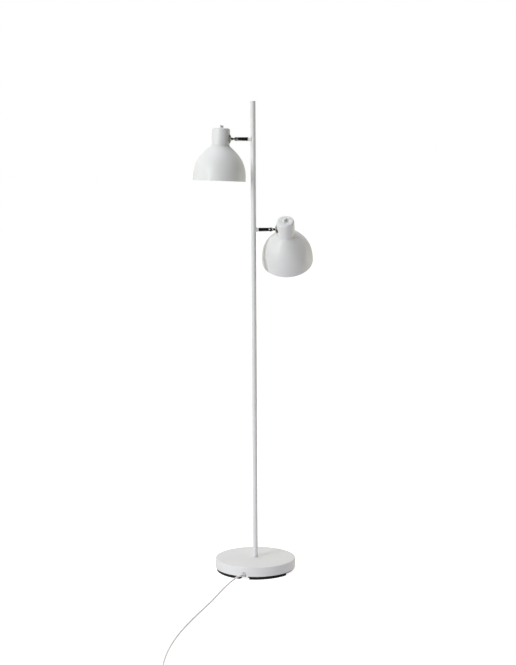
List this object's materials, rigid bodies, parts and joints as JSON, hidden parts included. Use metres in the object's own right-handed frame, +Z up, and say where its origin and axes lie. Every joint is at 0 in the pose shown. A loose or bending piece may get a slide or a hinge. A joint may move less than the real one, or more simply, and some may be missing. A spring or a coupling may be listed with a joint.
{
  "type": "adjustable arm floor lamp",
  "caption": "Floor lamp: a round weighted base, a slim pole and bell shades that turn and tilt on short arms.",
  "frame": {"origin": "on the pole's axis, at floor level, on the flat face of the base plate's central boss", "axes": "+Z up along the pole, -Y towards the lamp's front where the cord leaves the base, +X towards the lower head, -X towards the upper head"},
  "size_m": [0.4275, 1.1972, 1.48],
  "materials": {
    "white_paint": "satin white powder coat",
    "white_plastic": "satin white plastic",
    "white_cord": "soft white PVC",
    "chrome": "polished chrome plate",
    "satin_steel": "satin nickel plate, brushed",
    "zinc": "zinc plated steel",
    "brass": "plain brass",
    "cast_iron": "rough cast",
    "black_plastic": "fine moulded texture",
    "black_rubber": "matt",
    "opal_glass": "opal white glass"
  },
  "bodies": {
    "stand": {"base_shell": "white_paint", "base_weight": "cast_iron", "base_plate": "black_plastic", "stud_washer": "zinc", "stud_nut": "zinc", "pole_stud": "zinc", "cord_gland": "white_plastic", "base_lead": "white_plastic", "terminal_block": "white_plastic", "foot_pad_1": "black_rubber", "foot_pad_2": "black_rubber", "foot_pad_3": "black_rubber", "foot_pad_4": "black_rubber", "pole": "white_paint", "pole_cap": "white_paint", "pole_insert": "zinc", "pole_lead": "white_plastic", "upper_collar": "white_paint", "upper_nipple": "zinc", "upper_arm_tube": "chrome", "upper_friction_washer": "chrome", "lower_collar": "white_paint", "lower_nipple": "zinc", "lower_arm_tube": "chrome", "lower_friction_washer": "chrome", "power_cord": "white_cord", "cord_coil": "white_cord", "coil_tie": "black_plastic", "cord_tail": "white_cord", "plug_body": "white_plastic", "plug_pin_1": "brass", "plug_pin_2": "brass"},
    "upper_knuckle": {"upper_knuckle": "chrome", "upper_pivot_screw": "chrome", "upper_pivot_nut": "chrome"},
    "upper_head": {"upper_stem": "chrome", "upper_rosette": "satin_steel", "upper_stem_nut": "zinc", "upper_neck_cover": "white_paint", "upper_shade": "white_paint", "upper_lampholder": "white_plastic", "upper_shade_ring": "white_plastic", "upper_bulb_cap": "zinc", "upper_bulb_glass": "opal_glass", "upper_switch_body": "black_plastic"},
    "upper_knob": {"upper_switch_knob": "white_plastic"},
    "lower_knuckle": {"lower_knuckle": "chrome", "lower_pivot_screw": "chrome", "lower_pivot_nut": "chrome"},
    "lower_head": {"lower_stem": "chrome", "lower_rosette": "satin_steel", "lower_stem_nut": "zinc", "lower_neck_cover": "white_paint", "lower_shade": "white_paint", "lower_lampholder": "white_plastic", "lower_shade_ring": "white_plastic", "lower_bulb_cap": "zinc", "lower_bulb_glass": "opal_glass", "lower_switch_body": "black_plastic"},
    "lower_knob": {"lower_switch_knob": "white_plastic"}
  },
  "joints": [
    {"name": "upper_turn", "type": "hinge", "parent": "stand", "child": "upper_knuckle", "pos_m": [-0.0535, 0, 1.364], "axis": [1, 0, 0], "range_deg": [-150, 150]},
    {"name": "upper_tilt", "type": "hinge", "parent": "upper_knuckle", "child": "upper_head", "pos_m": [-0.0535, 0, 1.364], "axis": [0, 1, 0], "range_deg": [-3, 40]},
    {"name": "upper_switch_turn", "type": "hinge", "parent": "upper_head", "child": "upper_knob", "pos_m": [-0.0985, 0, 1.39808], "axis": [0.0454, 0, 0.999], "range_deg": [0, 90]},
    {"name": "lower_turn", "type": "hinge", "parent": "stand", "child": "lower_knuckle", "pos_m": [0.0535, 0, 1.084], "axis": [1, 0, 0], "range_deg": [-188, 112]},
    {"name": "lower_tilt", "type": "hinge", "parent": "lower_knuckle", "child": "lower_head", "pos_m": [0.0535, 0, 1.084], "axis": [0, -0.788, -0.6157], "range_deg": [-3, 40]},
    {"name": "lower_switch_turn", "type": "hinge", "parent": "lower_head", "child": "lower_knob", "pos_m": [0.09826, -0.02117, 1.1111], "axis": [-0.0523, -0.6148, 0.7869], "range_deg": [0, 90]}
  ]
}
